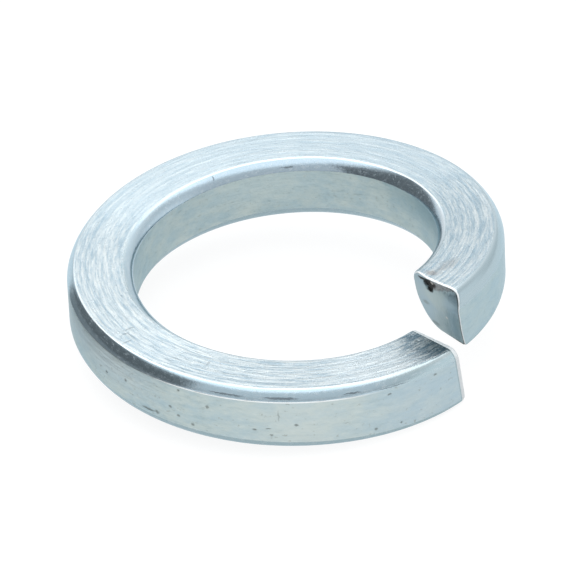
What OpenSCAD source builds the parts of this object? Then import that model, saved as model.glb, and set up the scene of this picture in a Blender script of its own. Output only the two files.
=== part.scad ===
// Spring lock washer: one bar of near square section, coiled a single turn around a bolt and
// sheared off, so that one end of the split stands higher than the other.
// The axis is +Z. The lowest point of the coil lies on z = 0.

/* [Ring] */
// Diameter of the bore that the bolt passes through
bore_d = 20.6; // [17:0.1:24]
// Outside diameter of the ring
outer_d = 29.6; // [27:0.1:34]
// Height of the bar, along the axis
bar_h = 4.5; // [3.5:0.1:6]
// Drop of the coil in one full turn
pitch = 4.25; // [3.4:0.05:6]

/* [Edges] */
// Outer edges: how far the rounding reaches in from the outer wall
outer_edge_across = 0.6; // [0.3:0.05:1]
// Outer edges: how far the rounding reaches down the outer wall
outer_edge_down = 0.85; // [0.3:0.05:1.3]
// Inner edges: how far the rounding reaches out from the bore
inner_edge_across = 0.72; // [0.3:0.05:1]
// Inner edges: how far the rounding reaches down the bore
inner_edge_down = 0.75; // [0.3:0.05:1.3]

/* [Split] */
// Direction of the split, seen from above
split_angle = 322; // [0:0.1:360]
// Width of the split between the two cuts, at the middle of the bar
split_w = 0.36; // [0.3:0.02:3]
// Raised end: lean of the cut, its foot towards the coil
raised_lean = 12; // [0:1:20]
// Raised end: turn of the cut away from the radius
raised_skew = 16; // [0:1:20]
// Low end: lean of the cut, its foot away from the coil
low_lean = 9; // [0:1:20]
// Low end: turn of the cut away from the radius
low_skew = 6; // [0:1:20]
// Raised end: how far the lower inner corner, rolled over by the shear, reaches out from the bore
roll_across = 2.5; // [1:0.1:3]
// Raised end: how far the rolled corner reaches up the bore
roll_up = 3.6; // [1:0.1:3.7]
// Raised end: angle over which the rolled corner fades into the plain edge
roll_fade = 12; // [6:1:40]
// Raised end: rounding of the lower outer edge, left sharp by the shear
tip_edge = 0.2; // [0.1:0.05:0.3]
// Raised end: angle over which the sharp edge widens into the plain one
tip_fade = 30; // [6:1:60]

/* [Hidden] */
bore_r = bore_d / 2;
outer_r = outer_d / 2;
mid_r = (bore_r + outer_r) / 2;
half_h = bar_h / 2;
split_half = asin(split_w / 2 / mid_r);
raised_angle = split_angle + split_half - 360;
low_angle = split_angle - split_half;
middle_angle = (raised_angle + low_angle) / 2;
rings = 90;
arc_steps = [0:3];
arc_step = 22.5;
// The bar is swept this far past the walls, which are then turned to their true radius
wall_spare = 0.3;
// Space left around the coil by the tube that trims it
trim_spare = 2;
// The rolled corner leaves at least this much of the lower face and of the bore
left_flat = 0.1;
rolled_across = min(roll_across, outer_r - bore_r - outer_edge_across - left_flat);
rolled_up = min(roll_up, bar_h - inner_edge_down - left_flat);

// Angle by which a leaning, skewed cut is ahead of the radius at a point of the section
function cut_turn(r, w, lean, skew) = -asin((tan(lean) * w + tan(skew) * (r - mid_r)) / r);

// Height of the bar's middle above the coil's own middle, at an angle
function rise(angle) = pitch * (middle_angle - angle) / 360;

// The lowest point of the coil is the lower inner corner of the low end
low_corner_r = bore_r + inner_edge_across;
coil_z = half_h - rise(low_angle + cut_turn(low_corner_r, -half_h, low_lean, low_skew));

// How much of the rolled corner is left at an angle past the raised end: 1 at the cut, 0 past it
function roll_left(past) = pow(max(0, 1 - past / roll_fade), 2);
function blend(a, b, share) = a + (b - a) * share;

// Points of one rounded edge, from the flat to just short of the wall.
// wall is the wall's radius, side is 1 on the outer wall and -1 in the bore, up is 1 or -1.
function edge_arc(wall, side, up, across, reach) = [
    for (i = arc_steps)
        [
            wall - side * across * (1 - sin(i * arc_step)),
            up * (half_h - reach * (1 - cos(i * arc_step)))
        ]
];

function reversed(list) = [for (i = [len(list) - 1:-1:0]) list[i]];

// Outline of the bar at an angle past the raised end, as [radius, height] points
function section(past) =
    let (share = roll_left(past))
    let (across = blend(inner_edge_across, rolled_across, share))
    let (reach = blend(inner_edge_down, rolled_up, share))
    let (sharp = max(0, 1 - past / tip_fade))
    let (foot_across = blend(outer_edge_across, tip_edge, sharp))
    let (foot_down = blend(outer_edge_down, tip_edge, sharp))
    concat(
        reversed(edge_arc(outer_r, 1, 1, outer_edge_across, outer_edge_down)),
        edge_arc(bore_r, -1, 1, inner_edge_across, inner_edge_down),
        [[bore_r - wall_spare, (reach - inner_edge_down) / 2]],
        reversed(edge_arc(bore_r, -1, -1, across, reach)),
        edge_arc(outer_r, 1, -1, foot_across, foot_down),
        [[outer_r + wall_spare, (foot_down - outer_edge_down) / 2]]
    );

// Place of a section point on the coil. share is 0 at the raised end and 1 at the low end.
function coil_point(p, share) =
    let (from = raised_angle + cut_turn(p[0], p[1], raised_lean, raised_skew))
    let (to = low_angle + cut_turn(p[0], p[1], low_lean, low_skew))
    let (angle = blend(from, to, share))
    [p[0] * cos(angle), p[0] * sin(angle), coil_z + p[1] + rise(angle)];

// Bar swept along the coil, with a little to spare at both walls
module swept_bar() {
    span = low_angle - raised_angle;
    points = [
        for (i = [0:rings])
            for (p = section(span * i / rings))
                coil_point(p, i / rings)
    ];
    sides = len(section(0));
    walls = [
        for (i = [0:rings - 1])
            for (j = [0:sides - 1])
                let (a = i * sides + j)
                let (b = i * sides + (j + 1) % sides)
                each [[a, b, a + sides], [b, b + sides, a + sides]]
    ];
    raised_cut = [for (j = [sides - 1:-1:0]) j];
    low_cut = [for (j = [0:sides - 1]) rings * sides + j];
    polyhedron(points = points, faces = concat(walls, [raised_cut, low_cut]), convexity = 6);
}

// Bore and outer wall, as a plain tube taller than the coil
module trim_tube() {
    tube_h = pitch + bar_h + 2 * trim_spare;
    translate([0, 0, -trim_spare])
        difference() {
            cylinder(r = outer_r, h = tube_h, $fn = 180);
            translate([0, 0, -trim_spare])
                cylinder(r = bore_r, h = tube_h + 2 * trim_spare, $fn = 180);
        }
}

module lock_washer() {
    color("#c2ccd1")
        intersection() {
            swept_bar();
            trim_tube();
        }
}

lock_washer();
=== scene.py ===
import math

import bmesh
import bpy
from mathutils import Matrix, Vector, noise


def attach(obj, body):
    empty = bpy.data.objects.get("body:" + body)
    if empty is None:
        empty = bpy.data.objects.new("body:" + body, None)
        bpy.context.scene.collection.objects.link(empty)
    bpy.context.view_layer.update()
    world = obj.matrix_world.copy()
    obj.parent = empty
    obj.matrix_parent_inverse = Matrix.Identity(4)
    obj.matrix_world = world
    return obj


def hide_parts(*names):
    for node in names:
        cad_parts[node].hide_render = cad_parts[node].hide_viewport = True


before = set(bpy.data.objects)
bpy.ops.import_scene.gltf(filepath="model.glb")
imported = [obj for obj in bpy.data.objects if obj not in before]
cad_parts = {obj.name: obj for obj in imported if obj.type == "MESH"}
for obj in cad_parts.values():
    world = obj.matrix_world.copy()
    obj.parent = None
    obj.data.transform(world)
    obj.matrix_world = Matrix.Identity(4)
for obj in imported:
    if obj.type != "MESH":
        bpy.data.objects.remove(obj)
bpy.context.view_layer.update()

MM = 0.001

# Sizes of the washer, in millimetres and degrees, as in the part's source
BORE_R = 10.3
OUTER_R = 14.8
BAR_H = 4.5
PITCH = 4.25
OUTER_EDGE_ACROSS = 0.6
OUTER_EDGE_DOWN = 0.85
INNER_EDGE_ACROSS = 0.72
INNER_EDGE_DOWN = 0.75
SPLIT_ANGLE = 322
SPLIT_W = 0.36
RAISED_LEAN = 12
RAISED_SKEW = 16
LOW_LEAN = 9
LOW_SKEW = 6
ROLL_ACROSS = 2.5
ROLL_UP = 3.6
ROLL_FADE = 12
TIP_EDGE = 0.2
TIP_FADE = 30

# Sizes that follow from those
MID_R = (BORE_R + OUTER_R) / 2
HALF_H = BAR_H / 2
SPLIT_HALF = math.degrees(math.asin(SPLIT_W / 2 / MID_R))
RAISED_ANGLE = SPLIT_ANGLE + SPLIT_HALF - 360
LOW_ANGLE = SPLIT_ANGLE - SPLIT_HALF
SPAN = LOW_ANGLE - RAISED_ANGLE
BAR_LENGTH = math.radians(SPAN) * MID_R

# Shapes of the edges: bends from the flat to the wall, each with its end angle, radius and steps
OUTER_WORN = ((48, 0.2, 5), (76, 1.7, 7), (90, 0.5, 4))
INNER_WORN = ((50, 0.2, 6), (71, 2.5, 7), (90, 0.06, 3))
EVEN = ((90, 1.0, 16),)
SHOULDER = ((26, 1.7, 7), (90, 0.45, 9))

# How finely the bar is built
FLAT_STEPS = 26
WALL_STEPS = 16
CUT_RINGS = 20
RIM_STEPS = 5
NEAR_END = 4.0
NEAR_STEP = 0.1
BODY_STEP = 0.21

# Rims of the cuts: how far along the bar they are worn, how far in, and the angle that they end at
RAISED_RIM = (0.24, 0.08)
LOW_RIM = (0.42, 0.08)
RIM_TURN = 45

# A cut face starts inside its rim by a share of the section and stands out by some micrometres.
# Its rings get closer outwards by the spacing.
CUT_INSET = 0.006
CUT_OUT = 0.004
CUT_SPACING = 1.2

# The worn edges turn into even curves and shoulders over these distances from the ends
RAISED_SOFT = 16.0
LOW_SOFT = 9.0
# Raised end: the upper outer edge's reach across and down
RAISED_EDGE_ACROSS = 0.95
RAISED_EDGE_DOWN = 1.4
# Left side: the upper inner edge's reach across, and where along the bar it is so wide
LEFT_EDGE_ACROSS = 1.1
LEFT_EDGE_AT = 48.0
LEFT_EDGE_ALONG = 7.5
# Low end: the lower outer edge gets this much sharper, over this distance
LOW_FOOT_SHARP = 0.65
LOW_FOOT_ALONG = 26.0

# Relief of the cuts: how deep each form goes, and how far along the bar it fades
CORNER_FALL = 0.48
BELLY_SWELL = 0.08
CHIP_DEPTH = 0.16
LIP_DEPTH = 0.05
RAISED_GRAIN = 0.02
LOW_GRAIN = 0.012
RELIEF_FADE = 2.0

# Unevenness of the drawn bar, always inwards
UNEVEN = 0.018


def cut_turn(radius, height, lean, skew):
    """Angle in degrees by which a leaning, skewed cut is ahead of the radius."""
    ahead = math.tan(math.radians(lean)) * height + math.tan(math.radians(skew)) * (radius - MID_R)
    return -math.degrees(math.asin(ahead / radius))


def middle_height():
    """Height of the coil's middle, with the low end's lower inner corner on the floor."""
    middle = (RAISED_ANGLE + LOW_ANGLE) / 2
    lowest = LOW_ANGLE + cut_turn(BORE_R + INNER_EDGE_ACROSS, -HALF_H, LOW_LEAN, LOW_SKEW)
    return HALF_H - PITCH * (middle - lowest) / 360


def blend(first, second, share):
    """A number between two others."""
    return first + (second - first) * share


def hump(value, centre, width):
    """A smooth hump of height 1 around a centre."""
    return math.exp(-((value - centre) / width) ** 2)


def climb(value, low, high):
    """0 below low, 1 above high and smooth between them."""
    share = min(1, max(0, (value - low) / (high - low)))
    return share * share * (3 - 2 * share)


def edge_shape(bends):
    """An edge in shares of its reach across and down, with its steepness at each point."""
    angles = [0.0]
    across = [0.0]
    down = [0.0]
    for end, radius, steps in bends:
        start = angles[-1]
        for step in range(1, steps + 1):
            angle = math.radians(start + (end - start) * step / steps)
            before = math.radians(angles[-1])
            across.append(across[-1] + radius * (math.sin(angle) - math.sin(before)))
            down.append(down[-1] + radius * (math.cos(before) - math.cos(angle)))
            angles.append(math.degrees(angle))
    return [(a / across[-1], d / down[-1], t / 90) for a, d, t in zip(across, down, angles)]


def mixed_shape(first, second, share):
    """A shape between two others."""
    pairs = zip(edge_shape(first), edge_shape(second))
    return [tuple(blend(a, b, share) for a, b in zip(one, other)) for one, other in pairs]


def edge_points(wall, side, up, across, reach, shape):
    """One edge as (radius, height, steepness), from the flat to the wall."""
    points = []
    for out, down, steepness in shape:
        points.append((wall - side * across * (1 - out), up * (HALF_H - reach * down), steepness))
    return points


def straight_points(start, end, steps):
    """The points strictly between two section points."""
    points = []
    for step in range(1, steps):
        points.append(tuple(blend(a, b, step / steps) for a, b in zip(start, end)))
    return points


def outer_edges(along):
    """The upper and the lower outer edge at a distance along the bar."""
    to_low_end = BAR_LENGTH - along
    near_raised = max(0, 1 - along / RAISED_SOFT)
    near_low = max(0, 1 - to_low_end / LOW_SOFT)
    shape = mixed_shape(OUTER_WORN, EVEN, max(near_raised, near_low))
    across = blend(OUTER_EDGE_ACROSS, RAISED_EDGE_ACROSS, near_raised)
    down = blend(OUTER_EDGE_DOWN, RAISED_EDGE_DOWN, near_raised)
    tip_sharp = max(0, 1 - SPAN * along / BAR_LENGTH / TIP_FADE)
    foot_sharp = max(tip_sharp, LOW_FOOT_SHARP * max(0, 1 - to_low_end / LOW_FOOT_ALONG))
    foot_across = blend(OUTER_EDGE_ACROSS, TIP_EDGE, foot_sharp)
    foot_down = blend(OUTER_EDGE_DOWN, TIP_EDGE, foot_sharp)
    top = edge_points(OUTER_R, 1, 1, across, down, shape)
    return top, edge_points(OUTER_R, 1, -1, foot_across, foot_down, shape)


def inner_edges(along):
    """The upper and the lower inner edge at a distance along the bar."""
    near_raised = max(0, 1 - along / RAISED_SOFT)
    on_left = hump(along, LEFT_EDGE_AT, LEFT_EDGE_ALONG)
    shape = mixed_shape(INNER_WORN, SHOULDER, max(near_raised, on_left))
    across = blend(INNER_EDGE_ACROSS, LEFT_EDGE_ACROSS, on_left)
    rolled = max(0, 1 - SPAN * along / BAR_LENGTH / ROLL_FADE) ** 2
    foot_shape = mixed_shape(INNER_WORN, EVEN, math.sqrt(rolled))
    foot_across = blend(INNER_EDGE_ACROSS, ROLL_ACROSS, rolled)
    foot_up = blend(INNER_EDGE_DOWN, ROLL_UP, rolled)
    top = edge_points(BORE_R, -1, 1, across, INNER_EDGE_DOWN, shape)
    return top, edge_points(BORE_R, -1, -1, foot_across, foot_up, foot_shape)


def bar_section(along):
    """Section of the bar at a distance along it, as a closed outline."""
    outer_top, outer_foot = outer_edges(along)
    inner_top, inner_foot = inner_edges(along)
    outline = outer_top[::-1]
    outline += straight_points(outer_top[0], inner_top[0], FLAT_STEPS)
    outline += inner_top
    outline += straight_points(inner_top[-1], inner_foot[-1], WALL_STEPS)
    outline += inner_foot[::-1]
    outline += straight_points(inner_foot[0], outer_foot[0], FLAT_STEPS)
    outline += outer_foot
    outline += straight_points(outer_foot[-1], outer_top[-1], WALL_STEPS)
    return outline


def grain(radius, height, across, up, layer):
    """Noise on a cut from -1 to 1, with its fineness across and up."""
    return noise.noise(Vector((radius * across, height * up, layer)))


def raised_relief(radius, height):
    """How far the raised cut falls back from its plane: outer corner, chip, lip, grain and belly."""
    corner = CORNER_FALL * climb(radius, 11.6, 14.9) * climb(height, 0.6, 2.3)
    belly = BELLY_SWELL * hump(radius, OUTER_R, 1.3) * hump(height, -0.9, 1.1)
    uneven = grain(radius, height, 2.6, 2.6, 4.0)
    chip_shape = hump(radius + 0.25 * uneven, 11.9, 0.55) * hump(height + 0.3 * uneven, 1.7, 0.5)
    chip = CHIP_DEPTH * min(1, max(0, (chip_shape - 0.35) * 3))
    lip = LIP_DEPTH * hump(height, 1.95, 0.3) * (1 + grain(radius, height, 4, 4, 2.0))
    fine = RAISED_GRAIN * (1 + grain(radius, height, 1.4, 0.9, 1.0))
    return corner + chip + lip + fine - belly


def low_relief(radius, height):
    """How far the low cut falls back from its plane, by its grain."""
    return LOW_GRAIN * (1 + grain(radius, height, 1.1, 0.7, 7.0))


def stations():
    """Distances along the bar at which it gets a ring of points, closer near the cuts."""
    count = round(NEAR_END / NEAR_STEP)
    first = [blend(RAISED_RIM[0], NEAR_END, i / count) for i in range(count + 1)]
    last = [BAR_LENGTH - blend(LOW_RIM[0], NEAR_END, i / count) for i in range(count + 1)]
    steps = round((BAR_LENGTH - 2 * NEAR_END) / BODY_STEP)
    body = [blend(NEAR_END, BAR_LENGTH - NEAR_END, i / steps) for i in range(1, steps)]
    return first + body + last[::-1]


def settle(along, radius, height):
    """Moves a point near a cut back with that cut's relief. Returns its share of the length."""
    from_raised = max(0, 1 - along / RELIEF_FADE)
    from_low = max(0, 1 - (BAR_LENGTH - along) / RELIEF_FADE)
    if from_raised:
        along += raised_relief(radius, height) * from_raised
    if from_low:
        along -= low_relief(radius, height) * from_low
    return along / BAR_LENGTH


def add_ring(mesh, along, outline, rim=0.0, inside=0.0):
    """Adds one ring of points across the bar.
    rim goes from 0 on the bar to 1 at the cut, and inside is the distance within a cut's rim."""
    steep = mesh.verts.layers.float["steepness"]
    on_rim = mesh.verts.layers.float["rim"]
    within = mesh.verts.layers.float["inside"]
    ring = []
    for radius, height, steepness in outline:
        vertex = mesh.verts.new((radius * MM, settle(along, radius, height), height * MM))
        vertex[steep] = steepness
        vertex[on_rim] = rim
        vertex[within] = inside
        ring.append(vertex)
    return ring


def shrunk(outline, share):
    """The outline drawn in towards the middle of the section."""
    centre_r = sum(point[0] for point in outline) / len(outline)
    centre_h = sum(point[1] for point in outline) / len(outline)
    smaller = []
    for radius, height, steepness in outline:
        smaller.append((blend(centre_r, radius, share), blend(centre_h, height, share), steepness))
    return smaller


def join_rings(mesh, first, second, cut):
    """Faces between two rings of the same number of points."""
    cut_layer = mesh.faces.layers.bool["is_cut"]
    count = len(first)
    for i in range(count):
        j = (i + 1) % count
        face = mesh.faces.new((first[i], first[j], second[j], second[i]))
        face[cut_layer] = cut


def end_rings(rim_along, rim_in):
    """Rings from the bar over a worn rim to the middle of a cut.
    Each has its share of the section, its depth along the bar and whether it is on the cut."""
    turn = math.radians(RIM_TURN)
    rings = []
    for step in range(1, RIM_STEPS + 1):
        angle = turn * step / RIM_STEPS
        share = 1 - rim_in / HALF_H * (1 - math.cos(angle)) / (1 - math.cos(turn))
        rings.append((share, rim_along * (1 - math.sin(angle) / math.sin(turn)), False))
    widest = rings[-1][0] - CUT_INSET
    for step in range(CUT_RINGS):
        rings.append((widest * (1 - (step / CUT_RINGS) ** CUT_SPACING), -CUT_OUT, True))
    return rings


def close_end(mesh, ring, outline, at_raised_end):
    """Closes one end of the bar with a worn rim and a cut face of concentric rings."""
    rim_along, rim_in = RAISED_RIM if at_raised_end else LOW_RIM
    edge = 1 - rim_in / HALF_H
    previous = ring
    for share, depth, cut in end_rings(rim_along, rim_in):
        along = depth if at_raised_end else BAR_LENGTH - depth
        rim = min(1, 1 - depth / rim_along)
        inside = (edge - share) * HALF_H if cut else 0.0
        inner = add_ring(mesh, along, shrunk(outline, share), rim, inside)
        pair = (inner, previous) if at_raised_end else (previous, inner)
        join_rings(mesh, pair[0], pair[1], cut)
        previous = inner
    centre = add_ring(mesh, along, shrunk(outline, 0)[:1], 1.0, HALF_H)[0]
    count = len(previous)
    for i in range(count):
        pair = (previous[i], previous[(i + 1) % count])
        corners = (centre, pair[0], pair[1]) if at_raised_end else (centre, pair[1], pair[0])
        face = mesh.faces.new(corners)
        face[mesh.faces.layers.bool["is_cut"]] = True


def straight_bar():
    """The bar before coiling: x is the radius, y the share of its length, z the height."""
    mesh = bmesh.new()
    for name in ("steepness", "rim", "inside"):
        mesh.verts.layers.float.new(name)
    mesh.faces.layers.bool.new("is_cut")
    rings = []
    outlines = []
    for along in stations():
        outline = bar_section(along)
        outlines.append(outline)
        rings.append(add_ring(mesh, along, outline))
    for first, second in zip(rings, rings[1:]):
        join_rings(mesh, first, second, False)
    close_end(mesh, rings[0], outlines[0], True)
    close_end(mesh, rings[-1], outlines[-1], False)
    bmesh.ops.recalc_face_normals(mesh, faces=mesh.faces)
    data = bpy.data.meshes.new("straight_bar")
    mesh.to_mesh(data)
    mesh.free()
    bar = bpy.data.objects.new("straight_bar", data)
    bpy.context.scene.collection.objects.link(bar)
    return bar


def feed(tree, term, socket):
    """Puts a number, a vector, a colour or another node's result into a socket."""
    if isinstance(term, bpy.types.NodeSocket):
        tree.links.new(term, socket)
    elif socket.type == "RGBA":
        socket.default_value = (*term, 1)
    else:
        socket.default_value = term


def calc(tree, operation, *terms):
    """One Math node."""
    node = tree.nodes.new("ShaderNodeMath")
    node.operation = operation
    for term, socket in zip(terms, node.inputs):
        feed(tree, term, socket)
    return node.outputs[0]


def product(tree, first, *others):
    """Numbers multiplied."""
    for other in others:
        first = calc(tree, "MULTIPLY", first, other)
    return first


def opposite(tree, share):
    """What a share leaves of 1."""
    return calc(tree, "SUBTRACT", 1.0, share)


def vector_calc(tree, operation, *terms):
    """One Vector Math node."""
    node = tree.nodes.new("ShaderNodeVectorMath")
    node.operation = operation
    for term, socket in zip(terms, node.inputs):
        feed(tree, term, socket)
    return node.outputs["Value" if operation == "LENGTH" else "Vector"]


def vector(tree, x, y, z):
    """A vector from three numbers."""
    node = tree.nodes.new("ShaderNodeCombineXYZ")
    for term, socket in zip((x, y, z), node.inputs):
        feed(tree, term, socket)
    return node.outputs[0]


def parts_of(tree, whole):
    """The three numbers of a vector."""
    node = tree.nodes.new("ShaderNodeSeparateXYZ")
    tree.links.new(whole, node.inputs[0])
    return node.outputs


def ramp(tree, value, low, high, from_value=0.0, to_value=1.0):
    """Smooth change from one value to another as an input goes from low to high."""
    node = tree.nodes.new("ShaderNodeMapRange")
    node.interpolation_type = "SMOOTHSTEP"
    node.clamp = True
    feed(tree, value, node.inputs["Value"])
    feed(tree, low, node.inputs["From Min"])
    feed(tree, high, node.inputs["From Max"])
    feed(tree, from_value, node.inputs["To Min"])
    feed(tree, to_value, node.inputs["To Max"])
    return node.outputs[0]


def fade(tree, value, low, high):
    """1 below low, 0 above high and smooth between them."""
    return ramp(tree, value, low, high, 1.0, 0.0)


def between(tree, value, low, high, soft):
    """1 between two values and 0 outside them, with a soft change at both."""
    rising = ramp(tree, value, low - soft, low + soft)
    return product(tree, rising, fade(tree, value, high - soft, high + soft))


def cloud(tree, place, fineness, detail=2.0, roughness=0.5):
    """Noise at a place, with its fineness along the bar, across it and up it."""
    node = tree.nodes.new("ShaderNodeTexNoise")
    node.inputs["Scale"].default_value = 1.0
    node.inputs["Detail"].default_value = detail
    node.inputs["Roughness"].default_value = roughness
    tree.links.new(vector_calc(tree, "MULTIPLY", place, fineness), node.inputs["Vector"])
    return node.outputs[0]


# Sizes that the coiling takes, in metres and radians
COIL_SIZES = {
    "Bore Radius": BORE_R * MM,
    "Outer Radius": OUTER_R * MM,
    "Bar Height": BAR_H * MM,
    "Pitch": PITCH * MM,
    "Middle Height": middle_height() * MM,
    "Raised Angle": math.radians(RAISED_ANGLE),
    "Low Angle": math.radians(LOW_ANGLE),
    "Raised Lean": math.radians(RAISED_LEAN),
    "Raised Skew": math.radians(RAISED_SKEW),
    "Low Lean": math.radians(LOW_LEAN),
    "Low Skew": math.radians(LOW_SKEW),
    "Unevenness": UNEVEN * MM,
    "Seed": 3.7,
}
# Fineness of the bar's unevenness, for each millimetre along it, across it and up it
UNEVEN_ACROSS = (0.22, 0.3, 0.5)
UNEVEN_UP = (0.26, 0.5, 0.3)


def cut_nodes(tree, radius, height, mid, lean, skew):
    """The angle by which a leaning, skewed cut is ahead of the radius."""
    by_lean = product(tree, calc(tree, "TANGENT", lean), height)
    by_skew = product(tree, calc(tree, "TANGENT", skew), calc(tree, "SUBTRACT", radius, mid))
    ahead = calc(tree, "DIVIDE", calc(tree, "ADD", by_lean, by_skew), radius)
    return product(tree, calc(tree, "ARCSINE", ahead), -1.0)


def coil_angle(tree, given, radius, share, height, mid):
    """The angle around the axis of a point at a share of the bar's length."""
    raised_turn = cut_nodes(tree, radius, height, mid, given["Raised Lean"], given["Raised Skew"])
    low_turn = cut_nodes(tree, radius, height, mid, given["Low Lean"], given["Low Skew"])
    start = calc(tree, "ADD", given["Raised Angle"], raised_turn)
    end = calc(tree, "ADD", given["Low Angle"], low_turn)
    return calc(tree, "ADD", start, product(tree, calc(tree, "SUBTRACT", end, start), share))


def uneven_nodes(tree, given, bar_place, radius, height, mid):
    """The radius and the height with the drawn bar's unevenness taken off."""
    seeded = vector_calc(tree, "ADD", bar_place, given["Seed"])
    across_loss = product(tree, cloud(tree, seeded, UNEVEN_ACROSS), given["Unevenness"])
    up_loss = product(tree, cloud(tree, seeded, UNEVEN_UP), given["Unevenness"])
    half_width = calc(tree, "SUBTRACT", given["Outer Radius"], mid)
    to_side = calc(tree, "DIVIDE", calc(tree, "SUBTRACT", radius, mid), half_width)
    to_flat = calc(tree, "DIVIDE", height, product(tree, given["Bar Height"], 0.5))
    new_radius = calc(tree, "SUBTRACT", radius, product(tree, to_side, across_loss))
    new_height = calc(tree, "SUBTRACT", height, product(tree, to_flat, up_loss))
    return new_radius, new_height


def coil_places(tree, given):
    """Each point's place on the coil, and its place on the bar in millimetres."""
    position = tree.nodes.new("GeometryNodeInputPosition").outputs[0]
    radius, share, height = parts_of(tree, position)
    mid = product(tree, calc(tree, "ADD", given["Bore Radius"], given["Outer Radius"]), 0.5)
    angle = coil_angle(tree, given, radius, share, height, mid)
    middle = product(tree, calc(tree, "ADD", given["Raised Angle"], given["Low Angle"]), 0.5)
    turns = calc(tree, "DIVIDE", calc(tree, "SUBTRACT", middle, angle), 2 * math.pi)
    rise = product(tree, given["Pitch"], turns)
    along = product(tree, calc(tree, "SUBTRACT", angle, given["Raised Angle"]), mid)
    bar_place = vector(tree, *[product(tree, term, 1 / MM) for term in (along, radius, height)])
    new_radius, new_height = uneven_nodes(tree, given, bar_place, radius, height, mid)
    x = product(tree, new_radius, calc(tree, "COSINE", angle))
    y = product(tree, new_radius, calc(tree, "SINE", angle))
    z = calc(tree, "ADD", calc(tree, "ADD", new_height, rise), given["Middle Height"])
    return vector(tree, x, y, z), bar_place


def coil_sockets(tree):
    """Names the coiling's inputs and its output."""
    tree.interface.new_socket("Geometry", in_out="INPUT", socket_type="NodeSocketGeometry")
    for name in COIL_SIZES:
        tree.interface.new_socket(name, in_out="INPUT", socket_type="NodeSocketFloat")
    for name in ("Skin", "Cut"):
        tree.interface.new_socket(name, in_out="INPUT", socket_type="NodeSocketMaterial")
    tree.interface.new_socket("Geometry", in_out="OUTPUT", socket_type="NodeSocketGeometry")


def coil_step(tree, kind, geometry):
    """One geometry node, which takes the geometry of the step before."""
    node = tree.nodes.new(kind)
    tree.links.new(geometry, node.inputs["Geometry"])
    return node


def coil_tree():
    """Geometry nodes that coil the straight bar a single turn and give it its materials."""
    tree = bpy.data.node_groups.new("coil_the_bar", "GeometryNodeTree")
    coil_sockets(tree)
    given = tree.nodes.new("NodeGroupInput").outputs
    coil_place, bar_place = coil_places(tree, given)

    keep = coil_step(tree, "GeometryNodeStoreNamedAttribute", given["Geometry"])
    keep.data_type = "FLOAT_VECTOR"
    keep.domain = "POINT"
    keep.inputs["Name"].default_value = "bar_place"
    tree.links.new(bar_place, keep.inputs["Value"])
    bend = coil_step(tree, "GeometryNodeSetPosition", keep.outputs[0])
    tree.links.new(coil_place, bend.inputs["Position"])
    smooth = coil_step(tree, "GeometryNodeSetShadeSmooth", bend.outputs[0])
    real = coil_step(tree, "GeometryNodeRealizeInstances", smooth.outputs[0])
    skin = coil_step(tree, "GeometryNodeSetMaterial", real.outputs[0])
    tree.links.new(given["Skin"], skin.inputs["Material"])

    is_cut = tree.nodes.new("GeometryNodeInputNamedAttribute")
    is_cut.data_type = "BOOLEAN"
    is_cut.inputs["Name"].default_value = "is_cut"
    cut = coil_step(tree, "GeometryNodeSetMaterial", skin.outputs[0])
    tree.links.new(is_cut.outputs["Attribute"], cut.inputs["Selection"])
    tree.links.new(given["Cut"], cut.inputs["Material"])
    out = tree.nodes.new("NodeGroupOutput")
    tree.links.new(cut.outputs[0], out.inputs["Geometry"])
    return tree


def coiled_washer(skin, cut):
    """The washer itself: the straight bar, coiled by its geometry nodes, as a plain mesh."""
    bar = straight_bar()
    modifier = bar.modifiers.new("coil", "NODES")
    modifier.node_group = coil_tree()
    values = dict(COIL_SIZES, Skin=skin, Cut=cut)
    for item in modifier.node_group.interface.items_tree:
        if item.in_out == "INPUT" and item.name in values:
            modifier[item.identifier] = values[item.name]
    depsgraph = bpy.context.evaluated_depsgraph_get()
    coiled = bar.evaluated_get(depsgraph)
    data = bpy.data.meshes.new_from_object(coiled, preserve_all_data_layers=True, depsgraph=depsgraph)
    washer = bpy.data.objects.new("coiled_washer", data)
    bpy.context.scene.collection.objects.link(washer)
    bar.modifiers.remove(modifier)
    bpy.data.objects.remove(bar)
    return washer


def metal(name):
    """A bare metal material. Returns it with its tree and its shader."""
    material = bpy.data.materials.new(name)
    material.use_nodes = True
    tree = material.node_tree
    shader = tree.nodes["Principled BSDF"]
    shader.inputs["Metallic"].default_value = 1.0
    return material, tree, shader


def attribute(tree, name):
    """Reads one of the washer's own attributes."""
    node = tree.nodes.new("ShaderNodeAttribute")
    node.attribute_name = name
    return node


def blend_colours(tree, share, first, second):
    """Mixes two colours."""
    node = tree.nodes.new("ShaderNodeMix")
    node.data_type = "RGBA"
    feed(tree, share, node.inputs[0])
    feed(tree, first, node.inputs[6])
    feed(tree, second, node.inputs[7])
    return node.outputs[2]


def layered(tree, colour, layers):
    """A colour with tints laid over it. Each is a mask, a depth from 0 to 1 and the tint."""
    for mask, depth, tint in layers:
        colour = blend_colours(tree, product(tree, mask, depth), colour, tint)
    return colour


def bump(tree, height, depth, under=None):
    """A bump of a real depth in millimetres, on top of another one."""
    node = tree.nodes.new("ShaderNodeBump")
    node.inputs["Distance"].default_value = depth * MM
    feed(tree, height, node.inputs["Height"])
    if under is not None:
        tree.links.new(under, node.inputs["Normal"])
    return node.outputs[0]


def ragged(tree, place, fineness, amount):
    """The place with a small jitter, so that a mark on it gets a broken edge."""
    node = tree.nodes.new("ShaderNodeTexNoise")
    node.inputs["Scale"].default_value = fineness
    node.inputs["Detail"].default_value = 2.0
    tree.links.new(place, node.inputs["Vector"])
    centred = vector_calc(tree, "SUBTRACT", node.outputs["Color"], (0.5, 0.5, 0.5))
    return vector_calc(tree, "MULTIPLY_ADD", centred, (amount, amount, amount), place)


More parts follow.
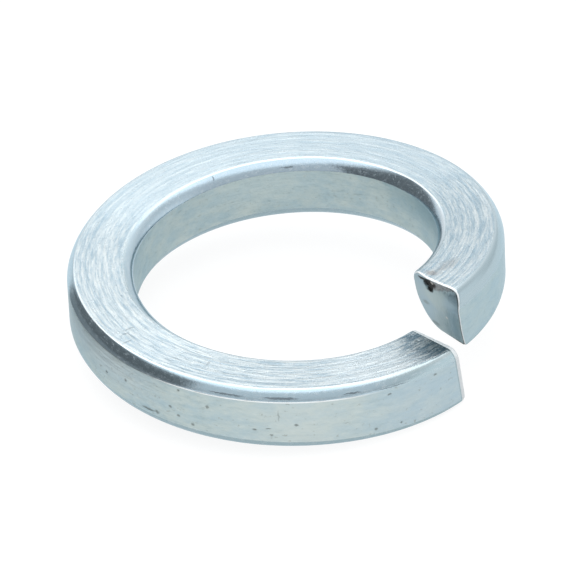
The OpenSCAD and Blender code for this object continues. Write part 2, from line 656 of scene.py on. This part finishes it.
def marks(tree, place, spots, soft=0.3):
    """1 inside any of the spots, each a centre and half sizes along, across and up the bar."""
    result = None
    for centre, reach in spots:
        scaled = vector_calc(tree, "DIVIDE", vector_calc(tree, "SUBTRACT", place, centre), reach)
        one = fade(tree, vector_calc(tree, "LENGTH", scaled), 1 - soft, 1 + soft)
        result = one if result is None else calc(tree, "MAXIMUM", result, one)
    return result


# Marks on the washer: centre and half sizes in millimetres, along the bar, by radius and by height
WALL_PITS = (
    ((56.74, OUTER_R, 0.12), (0.096, 0.3, 0.104)),
    ((59.05, OUTER_R, -1.2), (0.15, 0.3, 0.12)),
    ((58.45, OUTER_R, -1.25), (0.45, 0.3, 0.06)),
    ((54.98, OUTER_R, -0.31), (0.08, 0.3, 0.088)),
    ((60.0, OUTER_R, -0.34), (0.096, 0.3, 0.104)),
    ((60.5, OUTER_R, -0.86), (0.08, 0.3, 0.088)),
    ((60.59, OUTER_R, 1.21), (0.08, 0.3, 0.072)),
    ((61.4, OUTER_R, -1.24), (0.096, 0.3, 0.088)),
    ((62.35, OUTER_R, 0.45), (0.104, 0.3, 0.112)),
    ((67.42, OUTER_R, -0.31), (0.112, 0.3, 0.072)),
    ((66.44, OUTER_R + 0.25, 0.38), (0.05, 0.3, 0.45)),
    ((65.84, OUTER_R, -0.64), (0.128, 0.3, 0.048)),
    ((65.07, OUTER_R, -0.78), (0.112, 0.3, 0.056)),
    ((66.01, OUTER_R, -1.12), (0.096, 0.3, 0.056)),
    ((71.99, OUTER_R, -1.4), (0.08, 0.3, 0.088)),
    ((72.91, OUTER_R, 1.07), (0.112, 0.3, 0.064)),
    ((73.6, OUTER_R, -1.4), (0.072, 0.3, 0.064)),
    ((76.06, OUTER_R, 1.3), (0.104, 0.3, 0.064)),
)
EDGE_STREAKS = (
    ((66.58, 14.74, 1.74), (1.0, 0.14, 0.08)),
    ((63.5, 14.74, 1.72), (1.0, 0.14, 0.05)),
    ((70.7, 14.74, 1.76), (0.5, 0.14, 0.05)),
    ((73.2, 14.74, 1.6), (1.0, 0.14, 0.03)),
    ((33.53, 10.62, 2.1), (0.07, 0.2, 0.2)),
    ((27.3, 10.38, 1.8), (0.7, 0.14, 0.07)),
)
FLAT_NICKS = (
    ((54.95, 12.75, HALF_H), (0.07, 0.38, 0.3)),
    ((55.25, 13.35, HALF_H), (0.06, 0.34, 0.3)),
    ((55.75, 13.15, HALF_H), (0.5, 0.06, 0.3)),
    ((56.0, 13.75, HALF_H), (0.07, 0.35, 0.3)),
    ((59.5, 13.0, HALF_H), (0.35, 0.07, 0.3)),
    ((59.1, 13.4, HALF_H), (0.3, 0.06, 0.3)),
    ((61.6, 12.5, HALF_H), (0.07, 0.3, 0.3)),
    ((77.1, 12.04, HALF_H), (0.13, 0.1, 0.3)),
)
FLAT_SMUDGES = (
    ((1.5, 12.0, HALF_H), (0.9, 0.3, 0.4)),
    ((2.4, 12.3, HALF_H), (0.7, 0.3, 0.4)),
)
RUSTY_SPOT = (
    ((0.5, 11.75, HALF_H), (0.3, 0.4, 0.4)),
)

# Fineness of the skin's patterns, for each millimetre along the bar, across it and up it
FINE_LINES = (0.6, 4.8, 0.4)
BROAD_LINES = (0.14, 3.2, 0.3)
GROOVES = (0.06, 5.5, 0.2)
WALL_LINES = (0.35, 0.5, 6.0)
WALL_MOTTLE = (0.5, 0.7, 0.9)
WALL_GRAIN = (1.2, 1.6, 3.6)
WALL_SPECKS = (2.6, 2.6, 3.6)
BORE_PATCHES = (0.5, 0.5, 1.1)
BORE_STAINS = (1.5, 1.5, 3.6)
EDGE_GRAINS = (3.2, 6.0, 6.0)
SPECKLE = (4.0, 4.0, 4.0)

# Stretches of the skin that look different, in millimetres along the bar
IRONED = (15.0, 42.0)
# Stretch of the bore's painted shade near the raised end
BORE_SHADE_STRETCH = (12.0, 22.0)
# Stretch of the bore's painted light at the back
BORE_BRIGHT = (25.0, 34.0)
BACK_EDGE = (22.0, 35.0)
LEFT_SHOULDER = (38.0, 56.0)
LEFT_WALL = (50.0, 57.5)
# Stretch of the painted highlight line at the front
FRONT_HIGHLIGHT_STRETCH = (59.0, 71.0)
FRONT_WALL = (65.0, 71.0)
FRONT_RIGHT_FLAT = (70.0, 75.5)
NEAR_LOW_END = (70.0, 74.0)

# Depths of the relief in millimetres
LINE_RELIEF = 0.08
WALL_RELIEF = 0.05
MARK_RELIEF = 0.02
SPECKLE_RELIEF = 0.006

# Colours of the walls, as linear red, green and blue
WALL_BLUE = (0.405, 0.525, 0.57)
WALL_GREEN = (0.485, 0.57, 0.565)
WALL_PALE_GRAIN = (0.62, 0.69, 0.68)
WALL_DARK_GRAIN = (0.26, 0.36, 0.39)
WALL_FRONT = (0.62, 0.68, 0.665)
WALL_LEFT = (0.66, 0.74, 0.76)
WALL_LOW_END = (0.46, 0.565, 0.64)
# Painted shade: the outer wall darker on the right, near the raised end
WALL_RAISED_END_PAINTED_SHADE = (0.36, 0.475, 0.53)
WALL_SPECK = (0.25, 0.27, 0.24)
# Painted shade: the bore darker than the outside
BORE_PAINTED_SHADE = (0.24, 0.33, 0.35)
BORE_PATCH = (0.58, 0.64, 0.60)
BORE_STAIN = (0.20, 0.26, 0.26)
# Painted shade: the bore darker towards the top near the raised end
BORE_DARK_PAINTED_SHADE = (0.16, 0.26, 0.29)
# Painted light: the bore lighter towards the top at the back
BORE_PAINTED_LIGHT = (0.50, 0.60, 0.61)

# Colours of the flats and the edges
FLAT_DULL = (0.37, 0.475, 0.545)
FLAT_BRIGHT = (0.70, 0.745, 0.755)
FLAT_FRONT_RIGHT = (0.78, 0.84, 0.87)
# Dark painted reflection of the raised end, in streaks on the low end's flat
FLAT_PAINTED_REFLECTION = (0.12, 0.22, 0.30)
EDGE_INNER = (0.50, 0.62, 0.705)
EDGE_OUTER = (0.47, 0.60, 0.68)
# Whiter tint where the highlight lines fall on the tight bends: a painted highlight
EDGE_BEND_PAINTED_HIGHLIGHT = (0.80, 0.84, 0.86)
EDGE_LEFT = (0.42, 0.53, 0.60)
# Painted shade: a darker band on the steeper part of the bore's edges at the back
EDGE_BACK_PAINTED_SHADE = (0.36, 0.45, 0.52)
# Painted shade: the outer edge darker on the right, near the raised end
EDGE_RAISED_END_PAINTED_SHADE = (0.42, 0.52, 0.565)
EDGE_LOW_END = (0.42, 0.53, 0.55)
# Painted shade: the lower edges darker, next to the floor
EDGE_FOOT_PAINTED_SHADE = (0.27, 0.36, 0.38)

# Colours of the marks, and of the painted highlights and painted shadow on the rims and the front edge
# Near-white painted highlight for the bright line at the front
FRONT_PAINTED_HIGHLIGHT = (0.95, 0.97, 0.98)
PALE_GRAIN = (0.66, 0.74, 0.79)
SMUDGE = (0.33, 0.33, 0.33)
RUST = (0.30, 0.24, 0.21)
NICK = (0.3, 0.36, 0.4)
STREAK = (0.12, 0.15, 0.17)
PIT = (0.15, 0.17, 0.16)
RIM_SHADOW = (0.2, 0.28, 0.3)
# Near-white painted highlight on the rims of the cuts
RIM_PAINTED_HIGHLIGHT = (0.93, 0.965, 0.98)


class Skin:
    """Where a point of the skin lies, with the masks and patterns that its colours share."""

    def __init__(self, tree):
        self.place = attribute(tree, "bar_place").outputs["Vector"]
        self.along, self.radius, self.height = parts_of(tree, self.place)
        self.steep = attribute(tree, "steepness").outputs["Fac"]
        self.worn = attribute(tree, "rim").outputs["Fac"]
        self.flat = fade(tree, self.steep, 0.02, 0.3)
        self.wall = ramp(tree, self.steep, 0.84, 0.95)
        self.edge = calc(tree, "SUBTRACT", opposite(tree, self.flat), self.wall)
        self.bore = fade(tree, self.radius, BORE_R + 0.4, BORE_R + 0.9)
        self.outer = ramp(tree, self.radius, OUTER_R - 0.9, OUTER_R - 0.4)
        # Outside near the raised end, which gets painted shade
        self.raised_outer_painted_shade = product(tree, self.outer, fade(tree, self.along, 4.0, 15.0))
        # Mask of the painted highlight on the cut rims
        self.rim = rim_painted_highlight(tree, self)
        self.fine_lines = cloud(tree, self.place, FINE_LINES, detail=6.0, roughness=0.8)
        self.mottle = cloud(tree, self.place, WALL_MOTTLE, detail=6.0, roughness=0.72)
        self.speckle = cloud(tree, self.place, SPECKLE, detail=3.0, roughness=0.7)
        self.grains = edge_grains(tree, self)
        ironed = between(tree, self.along, *IRONED, soft=4.0)
        self.line_depth = ramp(tree, ironed, 0.0, 1.0, 1.0, 0.4)
        self.broken_place = ragged(tree, self.place, 5.0, 0.16)
        self.pits = marks(tree, self.broken_place, WALL_PITS, soft=0.55)
        self.nicks = marks(tree, self.place, FLAT_NICKS)


def rim_painted_highlight(tree, skin):
    """Painted highlight on the rims of the cuts. The raised end's is narrower on its walls, and none
    shows in the bore.
    """
    raised = fade(tree, skin.along, 6.0, 8.0)
    narrower = product(tree, raised, skin.steep, -0.55)
    rim = ramp(tree, calc(tree, "ADD", skin.worn, narrower), 0.15, 0.35)
    in_bore = product(tree, ramp(tree, skin.steep, 0.25, 0.5), fade(tree, skin.radius, 12.0, 13.0))
    return product(tree, rim, opposite(tree, in_bore))


def edge_grains(tree, skin):
    """Small pale grains, which the raised end has none of."""
    grains = ramp(tree, cloud(tree, skin.place, EDGE_GRAINS, detail=3.0, roughness=0.6), 0.5, 0.68)
    return product(tree, grains, ramp(tree, skin.along, 7.0, 11.0))


def bore_layers(tree, skin):
    """Tints of the bore: darker than outside, as painted shade; patchy; stained; dark at the raised end,
    as painted shade; lighter at the back, as painted light.
    """
    patches = cloud(tree, skin.place, BORE_PATCHES, detail=4.0, roughness=0.6)
    stains = cloud(tree, skin.place, BORE_STAINS, detail=4.0, roughness=0.7)
    # Painted shade at the top of the bore near the raised end
    dark = product(tree, fade(tree, skin.along, *BORE_SHADE_STRETCH), ramp(tree, skin.height, -1.0, 1.2))
    # Painted light at the back of the bore, towards the top
    bright = between(tree, skin.along, *BORE_BRIGHT, soft=3.0)
    bright = product(tree, bright, ramp(tree, skin.height, -1.5, 1.0))
    return (
        # Painted shade over the whole bore
        (skin.bore, 0.3, BORE_PAINTED_SHADE),
        (product(tree, ramp(tree, patches, 0.46, 0.62), skin.bore), 0.24, BORE_PATCH),
        (product(tree, ramp(tree, stains, 0.58, 0.68), skin.bore), 0.3, BORE_STAIN),
        (product(tree, skin.bore, dark), 0.6, BORE_DARK_PAINTED_SHADE),
        (product(tree, skin.bore, bright), 0.4, BORE_PAINTED_LIGHT),
    )


def wall_colour(tree, skin):
    """Satin walls, mottled blue and green."""
    grain = cloud(tree, skin.place, WALL_GRAIN, detail=6.0, roughness=0.85)
    specks = cloud(tree, skin.place, WALL_SPECKS, detail=3.0, roughness=0.65)
    at_left = between(tree, skin.along, *LEFT_WALL, soft=3.0)
    at_left = product(tree, at_left, ramp(tree, skin.height, -1.6, 1.0))
    mottled = ramp(tree, skin.mottle, 0.36, 0.64)
    layers = (
        (ramp(tree, grain, 0.5, 0.68), 0.4, WALL_PALE_GRAIN),
        (fade(tree, grain, 0.32, 0.5), 0.4, WALL_DARK_GRAIN),
        (between(tree, skin.along, *FRONT_WALL, soft=4.0), 0.45, WALL_FRONT),
        (at_left, 0.6, WALL_LEFT),
        (ramp(tree, skin.along, 70.0, 75.0), 0.4, WALL_LOW_END),
        (ramp(tree, specks, 0.62, 0.71), 0.5, WALL_SPECK),
        *bore_layers(tree, skin),
        # Painted shade on the outer wall near the raised end
        (skin.raised_outer_painted_shade, 0.45, WALL_RAISED_END_PAINTED_SHADE),
    )
    return layered(tree, blend_colours(tree, mottled, WALL_BLUE, WALL_GREEN), layers)


def flat_colour(tree, skin):
    """Drawing lines along the flats, fainter where they are ironed, with dark streaks at the low end: a
    painted reflection of the raised end.
    """
    grooves = cloud(tree, skin.place, GROOVES, detail=3.0, roughness=0.65)
    contrast = calc(tree, "MULTIPLY_ADD", ramp(tree, skin.along, 64.0, 74.0), 0.6, skin.line_depth)
    lines = calc(tree, "MULTIPLY_ADD", calc(tree, "SUBTRACT", grooves, 0.5), 0.45, skin.fine_lines)
    lines = calc(tree, "MULTIPLY_ADD", calc(tree, "SUBTRACT", lines, 0.5), contrast, 0.5)
    lines = calc(tree, "MULTIPLY_ADD", ramp(tree, skin.along, 40.0, 50.0), 0.04, lines)
    tone = blend_colours(tree, ramp(tree, lines, 0.36, 0.68), FLAT_DULL, FLAT_BRIGHT)
    # Painted reflection of the raised end: the low end's darker lines get darker
    painted_reflection_streaks = product(tree, ramp(tree, skin.along, 74.4, 77.0), fade(tree, skin.fine_lines, 0.46, 0.53))
    layers = (
        (between(tree, skin.along, *FRONT_RIGHT_FLAT, soft=2.0), 0.5, FLAT_FRONT_RIGHT),
        (painted_reflection_streaks, 0.62, FLAT_PAINTED_REFLECTION),
    )
    return layered(tree, tone, layers)


def edge_colour(tree, skin):
    """Smooth edges, tinted whitest at their tight bends as a painted highlight, with painted shade near
    the raised end, at the back of the bore and along the lower edges.
    """
    inner = opposite(tree, skin.outer)
    at_left = product(tree, between(tree, skin.along, *LEFT_SHOULDER, soft=5.0), inner)
    at_back = product(tree, between(tree, skin.along, *BACK_EDGE, soft=2.0), inner)
    at_back = product(tree, at_back, ramp(tree, skin.steep, 0.46, 0.58))
    layers = (
        # Painted highlight: tight bends tinted whiter
        (fade(tree, skin.steep, 0.4, 0.56), 0.7, EDGE_BEND_PAINTED_HIGHLIGHT),
        (at_left, 0.85, EDGE_LEFT),
        # Painted shade on the steeper part of the bore's edges at the back
        (at_back, 0.6, EDGE_BACK_PAINTED_SHADE),
        # Painted shade on the outer edge near the raised end
        (skin.raised_outer_painted_shade, 1.0, EDGE_RAISED_END_PAINTED_SHADE),
        (ramp(tree, skin.along, 71.0, 75.0), 0.6, EDGE_LOW_END),
        # Painted shade along the lower edges
        (fade(tree, skin.height, -1.6, -1.0), 0.7, EDGE_FOOT_PAINTED_SHADE),
    )
    return layered(tree, blend_colours(tree, skin.outer, EDGE_INNER, EDGE_OUTER), layers)


def front_painted_highlight(tree, skin):
    """A painted highlight: the bright line at the front, where the upper outer edge meets the wall."""
    line = between(tree, skin.steep, 0.865, 0.975, soft=0.02)
    upper = ramp(tree, skin.height, 0.5, 1.0)
    stretch = between(tree, skin.along, *FRONT_HIGHLIGHT_STRETCH, soft=2.0)
    return product(tree, line, upper, skin.outer, stretch)


def skin_colour(tree, skin):
    """Walls, edges and flats together, with the marks, and the painted highlight and painted shadow of
    the worn rims on them.
    """
    smudge = marks(tree, ragged(tree, skin.place, 2.0, 0.8), FLAT_SMUDGES, soft=0.7)
    rusty = marks(tree, ragged(tree, skin.place, 3.0, 0.5), RUSTY_SPOT, soft=0.5)
    low_rim = product(tree, skin.worn, ramp(tree, skin.along, *NEAR_LOW_END))
    colour = blend_colours(tree, skin.edge, wall_colour(tree, skin), edge_colour(tree, skin))
    # Painted highlight where the upper outer edge meets the wall at the front
    colour = layered(tree, colour, ((front_painted_highlight(tree, skin), 0.85, FRONT_PAINTED_HIGHLIGHT),))
    colour = blend_colours(tree, skin.flat, colour, flat_colour(tree, skin))
    layers = (
        (product(tree, skin.grains, skin.edge), 0.36, PALE_GRAIN),
        (product(tree, smudge, skin.flat), 0.45, SMUDGE),
        (product(tree, rusty, skin.flat), 0.5, RUST),
        (skin.nicks, 0.42, NICK),
        (marks(tree, skin.broken_place, EDGE_STREAKS), 0.7, STREAK),
        (skin.pits, 0.7, PIT),
        (between(tree, low_rim, 0.06, 0.2, soft=0.05), 0.6, RIM_SHADOW),
        # Painted highlight on the rims of the cuts
        (skin.rim, 0.95, RIM_PAINTED_HIGHLIGHT),
    )
    return layered(tree, colour, layers)


def skin_metallic(tree, skin):
    """How bare the metal looks: least on the rims, and a little less on the edges."""
    # The rims are made much less metallic, so that their painted highlight shows pale
    dull_rim = product(tree, skin.rim, ramp(tree, skin.along, *NEAR_LOW_END, 0.7, 0.95))
    dull_edge = calc(tree, "MULTIPLY_ADD", skin.grains, 0.2, 0.08)
    return opposite(tree, calc(tree, "MULTIPLY_ADD", dull_edge, skin.edge, dull_rim))


def skin_roughness(tree, skin):
    """Satin walls, smoother flats and smoothest edges, all a little speckled."""
    roughness = calc(tree, "MULTIPLY_ADD", skin.edge, -0.14, 0.34)
    roughness = calc(tree, "ADD", roughness, product(tree, skin.flat, -0.05))
    speckled = product(tree, calc(tree, "SUBTRACT", skin.speckle, 0.5), 0.15)
    return calc(tree, "ADD", roughness, speckled)


def skin_relief(tree, skin):
    """Bumps of the drawing lines, the walls, the marks and the speckle."""
    broad_lines = cloud(tree, skin.place, BROAD_LINES, detail=2.0)
    lines = calc(tree, "MULTIPLY_ADD", broad_lines, 0.7, calc(tree, "SUBTRACT", skin.fine_lines, 0.85))
    lines = product(tree, lines, skin.line_depth, opposite(tree, skin.rim), skin.flat)
    wall_lines = cloud(tree, skin.place, WALL_LINES, detail=3.0, roughness=0.6)
    wall = calc(tree, "MULTIPLY_ADD", wall_lines, 0.5, calc(tree, "SUBTRACT", skin.mottle, 0.75))
    dents = product(tree, calc(tree, "MAXIMUM", skin.pits, skin.nicks), -1.0)
    relief = bump(tree, lines, LINE_RELIEF)
    relief = bump(tree, product(tree, wall, skin.wall), WALL_RELIEF, relief)
    relief = bump(tree, dents, MARK_RELIEF, relief)
    return bump(tree, skin.speckle, SPECKLE_RELIEF, relief)


def zinc_skin():
    """Bright zinc on the drawn bar: drawing lines on the flats, satin walls, smooth edges."""
    material, tree, shader = metal("zinc_skin")
    skin = Skin(tree)
    tree.links.new(skin_colour(tree, skin), shader.inputs["Base Color"])
    tree.links.new(skin_metallic(tree, skin), shader.inputs["Metallic"])
    tree.links.new(skin_roughness(tree, skin), shader.inputs["Roughness"])
    tree.links.new(skin_relief(tree, skin), shader.inputs["Normal"])
    shader.inputs["Specular Tint"].default_value = (0.75, 0.85, 0.9, 1)
    return material


# Marks on the raised cut, in the same form
CHIP = (
    ((0, 11.2, 1.9), (2, 0.3, 0.1)),
    ((0, 11.75, 1.75), (2, 0.36, 0.36)),
    ((0, 12.2, 1.8), (2, 0.36, 0.28)),
    ((0, 11.95, 1.35), (2, 0.3, 0.28)),
)
CUT_BRUISES = (
    ((0, 11.25, -0.2), (2, 0.3, 0.16)),
    ((0, 11.9, -1.72), (2, 0.4, 0.16)),
)
CUT_FLECKS = (
    ((0, 13.27, -0.5), (2, 0.11, 0.1)),
    ((0, 12.1, 1.84), (2, 0.12, 0.13)),
)
CUT_BLUE = (
    ((0, 13.9, -0.9), (2, 0.55, 1.2)),
)
# The brown lip's lower edge on the raised cut: its height at the axis and its climb outwards
LIP_AT_AXIS = -2.25
LIP_CLIMB = 0.3

# Fineness of the cuts' patterns, and depths of their relief in millimetres
CUT_PATCHES = (0.4, 0.5, 0.5)
CUT_LINES = (1.0, 5.0, 2.0)
BROKEN_METAL = (6.0, 6.0, 6.0)
CUT_RELIEF = 0.02
BROKEN_RELIEF = 0.1

# Colours of the cuts
CUT_DULL = (0.335, 0.445, 0.50)
CUT_BRIGHT = (0.385, 0.475, 0.485)
BLUE_TONE = (0.2, 0.33, 0.40)
BRUISE_TONE = (0.2, 0.24, 0.24)
LIP_TONE = (0.3, 0.28, 0.28)
BURR_TONE = (0.13, 0.14, 0.13)
CHIP_TONE = (0.02, 0.018, 0.016)
FLECK_TONE = (0.68, 0.66, 0.62)


def sheared_end():
    """Plated over the shear: duller and bluer, with a brown lip and a dark chip on the raised end."""
    material, tree, shader = metal("sheared_end")
    place = attribute(tree, "bar_place").outputs["Vector"]
    inside = attribute(tree, "inside").outputs["Fac"]
    broken = ragged(tree, place, 4.0, 0.2)
    along, radius, height = parts_of(tree, broken)
    raised = fade(tree, along, 5.0, 6.0)
    lip_foot = calc(tree, "MULTIPLY_ADD", radius, LIP_CLIMB, LIP_AT_AXIS)
    above_lip = calc(tree, "SUBTRACT", height, lip_foot)
    lip = product(tree, ramp(tree, above_lip, -0.1, 0.12), ramp(tree, radius, 11.6, 12.2), raised)
    burr = product(tree, fade(tree, inside, 0.05, 0.14), ramp(tree, radius, 13.2, 14.0))
    chip = product(tree, marks(tree, broken, CHIP), raised)
    patches = ramp(tree, cloud(tree, place, CUT_PATCHES, detail=4.0), 0.35, 0.65)
    layers = (
        (product(tree, marks(tree, broken, CUT_BLUE, soft=0.7), raised), 0.65, BLUE_TONE),
        (product(tree, marks(tree, broken, CUT_BRUISES, soft=0.5), raised), 0.6, BRUISE_TONE),
        (lip, 0.7, LIP_TONE),
        (burr, 0.8, BURR_TONE),
        (chip, 0.95, CHIP_TONE),
        (product(tree, marks(tree, place, CUT_FLECKS, soft=0.5), raised), 0.75, FLECK_TONE),
    )
    colour = layered(tree, blend_colours(tree, patches, CUT_DULL, CUT_BRIGHT), layers)
    tree.links.new(colour, shader.inputs["Base Color"])
    shader.inputs["Roughness"].default_value = 0.42
    broken_metal = cloud(tree, place, BROKEN_METAL, detail=3.0)
    broken_metal = product(tree, calc(tree, "MAXIMUM", lip, chip), broken_metal)
    relief = bump(tree, cloud(tree, place, CUT_LINES, detail=4.0), CUT_RELIEF)
    tree.links.new(bump(tree, broken_metal, BROKEN_RELIEF, relief), shader.inputs["Normal"])
    return material


# The light tent: heights and directions in degrees. Its bright ceiling starts at this height.
CEILING_FROM = 46
# It has an opening on the left, whose back edge leans by the slant
OPENING_FROM = 132
OPENING_TO = 221
OPENING_SLANT = 0.3
OPENING_TOP = 40
# A brighter panel of the tent at the back left
PANEL_FROM = 97
PANEL_TO = 128
PANEL_LOW = 25
# Levels: the tent's sides, what its brighter parts add, and what its darker parts take or leave
SIDE_LEVEL = 0.8
BACK_ADDS = 0.19
RIGHT_ADDS = 0.3
PANEL_ADDS = 0.7
CEILING_ADDS = 0.95
LOW_FRONT_TAKES = 0.25
OPENING_LEAVES = 0.15
TENT_COLOUR = (0.97, 0.99, 1.0, 1)

# The floor in metres, and the light that it scatters and gives of itself
FLOOR_SIZE = 12
FLOOR_GREY = 0.2
FLOOR_GLOW = 0.85
# In what the metal reflects, the white sheet ends this far to the left, in millimetres.
# At the back left it ends along a line this far from the axis, parallel to the opening's back edge.
SHEET_LEFT = 19
SHEET_ASIDE = 10.5
# The softness of its end at the front left, in radians
SHEET_FRONT_SOFT = 0.04


def from_left(tree, x, y):
    """Direction around the washer, in radians from the left."""
    return calc(tree, "ARCTAN2", product(tree, y, -1.0), product(tree, x, -1.0))


def past_angle(tree, angle, start, soft):
    """1 past an angle given in degrees, with a soft change around it."""
    return ramp(tree, angle, math.radians(start - soft), math.radians(start + soft))


def before_angle(tree, angle, end, soft):
    """1 before an angle given in degrees, with a soft change around it."""
    return fade(tree, angle, math.radians(end - soft), math.radians(end + soft))


def white_sheet_end(tree, x, y):
    """1 where the floor is dark in reflections, beyond the white sheet at the left."""
    beyond = fade(tree, x, -(SHEET_LEFT + 3) * MM, -(SHEET_LEFT - 3) * MM)
    turn = math.radians(OPENING_FROM)
    to_side = calc(tree, "MULTIPLY_ADD", y, math.cos(turn), product(tree, x, -math.sin(turn)))
    aside = ramp(tree, to_side, (SHEET_ASIDE - 1) * MM, (SHEET_ASIDE + 1) * MM)
    end = math.radians(OPENING_TO - 180)
    before_end = fade(tree, from_left(tree, x, y), end - SHEET_FRONT_SOFT, end + SHEET_FRONT_SOFT)
    return product(tree, aside, beyond, before_end)


def floor_white():
    """White floor that keeps a soft shadow. It shows its own glow to the camera and to the metal."""
    material = bpy.data.materials.new("floor_white")
    material.use_nodes = True
    tree = material.node_tree
    tree.nodes.clear()
    diffuse = tree.nodes.new("ShaderNodeBsdfDiffuse")
    diffuse.inputs["Color"].default_value = (FLOOR_GREY, FLOOR_GREY, FLOOR_GREY, 1)
    x, y, _ = parts_of(tree, tree.nodes.new("ShaderNodeTexCoord").outputs["Object"])
    lit = fade(tree, white_sheet_end(tree, x, y), 0.0, 1.0)
    path = tree.nodes.new("ShaderNodeLightPath").outputs
    mirrored = calc(tree, "MAXIMUM", path["Is Glossy Ray"], path["Is Transmission Ray"])
    seen = calc(tree, "MAXIMUM", path["Is Camera Ray"], product(tree, mirrored, lit))
    glow = tree.nodes.new("ShaderNodeEmission")
    tree.links.new(product(tree, seen, FLOOR_GLOW), glow.inputs["Strength"])
    both = tree.nodes.new("ShaderNodeAddShader")
    tree.links.new(diffuse.outputs[0], both.inputs[0])
    tree.links.new(glow.outputs[0], both.inputs[1])
    out = tree.nodes.new("ShaderNodeOutputMaterial")
    tree.links.new(both.outputs[0], out.inputs["Surface"])
    return material


def studio_floor():
    """Wide plain floor under the washer."""
    bpy.ops.mesh.primitive_plane_add(size=FLOOR_SIZE, location=(0, 0, 0))
    floor = bpy.context.object
    floor.name = "floor"
    floor.data.materials.append(floor_white())


def left_opening(tree, around, height):
    """1 towards the tent's opening on the left, and 0 elsewhere."""
    start = calc(tree, "MULTIPLY_ADD", height, OPENING_SLANT, math.radians(OPENING_FROM - 180))
    past = past_angle(tree, calc(tree, "SUBTRACT", around, start), 0, 2)
    before_end = before_angle(tree, around, OPENING_TO - 180, 2)
    return product(tree, past, before_end, before_angle(tree, height, OPENING_TOP, 2))


def tent_sides(tree, x, y, height, around):
    """Level of the tent's sides: brighter behind, at the far right and in the panel."""
    low_back = ramp(tree, height, 0.0, math.radians(15))
    high_back = ramp(tree, height, math.radians(22), math.radians(40))
    back = product(tree, ramp(tree, y, 0.0, 0.8), calc(tree, "ADD", low_back, high_back))
    right = product(tree, ramp(tree, x, 0.82, 0.97), RIGHT_ADDS)
    level = calc(tree, "ADD", right, calc(tree, "MULTIPLY_ADD", back, BACK_ADDS, SIDE_LEVEL))
    low_front = product(tree, ramp(tree, y, -0.2, -0.8), fade(tree, height, 0.0, math.radians(20)))
    level = calc(tree, "SUBTRACT", level, product(tree, low_front, LOW_FRONT_TAKES))
    panel = product(
        tree,
        past_angle(tree, around, PANEL_FROM - 180, 4),
        before_angle(tree, around, PANEL_TO - 180, 4),
        past_angle(tree, height, PANEL_LOW, 3),
    )
    return calc(tree, "MULTIPLY_ADD", panel, PANEL_ADDS, level)


def tent_level(tree):
    """Level of the light tent in every direction."""
    x, y, z = parts_of(tree, tree.nodes.new("ShaderNodeTexCoord").outputs["Generated"])
    height = calc(tree, "ARCSINE", z)
    around = from_left(tree, x, y)
    closed = ramp(tree, left_opening(tree, around, height), 0.0, 1.0, 1.0, OPENING_LEAVES)
    sides = product(tree, tent_sides(tree, x, y, height, around), closed)
    ceiling = product(tree, past_angle(tree, height, CEILING_FROM, 3), CEILING_ADDS)
    return calc(tree, "ADD", sides, ceiling)


def studio_light():
    """A pale light tent around the washer, and plain white behind it for the camera."""
    world = bpy.data.worlds.new("light_tent")
    bpy.context.scene.world = world
    world.use_nodes = True
    tree = world.node_tree
    tree.nodes.clear()
    tent = tree.nodes.new("ShaderNodeBackground")
    tent.inputs["Color"].default_value = TENT_COLOUR
    tree.links.new(tent_level(tree), tent.inputs["Strength"])
    white = tree.nodes.new("ShaderNodeBackground")
    white.inputs["Color"].default_value = (1, 1, 1, 1)
    white.inputs["Strength"].default_value = 1.0
    path = tree.nodes.new("ShaderNodeLightPath")
    pick = tree.nodes.new("ShaderNodeMixShader")
    tree.links.new(path.outputs["Is Camera Ray"], pick.inputs[0])
    tree.links.new(tent.outputs[0], pick.inputs[1])
    tree.links.new(white.outputs[0], pick.inputs[2])
    out = tree.nodes.new("ShaderNodeOutputWorld")
    tree.links.new(pick.outputs[0], out.inputs["Surface"])


# Camera: elevation and roll in degrees, distance, offsets, lens and sensor in millimetres
CAMERA_ELEVATION = 33.0306
CAMERA_ROLL = -2.8966
CAMERA_DISTANCE = 494.7075
CAMERA_RIGHT = 0.06753
CAMERA_UP = -0.50583
CAMERA_LENS = 457.99
CAMERA_SENSOR = 36


def studio_camera():
    """Looks down at the washer from the front, with a long lens."""
    data = bpy.data.cameras.new("camera")
    data.sensor_fit = "HORIZONTAL"
    data.sensor_width = CAMERA_SENSOR
    data.lens = CAMERA_LENS
    data.clip_start = 0.01
    data.clip_end = 50
    camera = bpy.data.objects.new("camera", data)
    bpy.context.scene.collection.objects.link(camera)
    elevation = math.radians(CAMERA_ELEVATION)
    back = Vector((0, -math.cos(elevation), math.sin(elevation)))
    turn = Matrix.Rotation(math.radians(CAMERA_ROLL), 3, back)
    right = Vector((1, 0, 0))
    up = back.cross(right)
    target = Vector((0, 0, middle_height() * MM))
    place = target + back * CAMERA_DISTANCE * MM + right * CAMERA_RIGHT * MM + up * CAMERA_UP * MM
    axes = Matrix((turn @ right, turn @ up, back)).transposed()
    camera.matrix_world = Matrix.Translation(place) @ axes.to_4x4()
    bpy.context.scene.camera = camera


washer = coiled_washer(zinc_skin(), sheared_end())
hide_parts("lock_washer")
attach(washer, "root")
studio_floor()
studio_light()
studio_camera()
bpy.context.scene.view_settings.view_transform = "Standard"
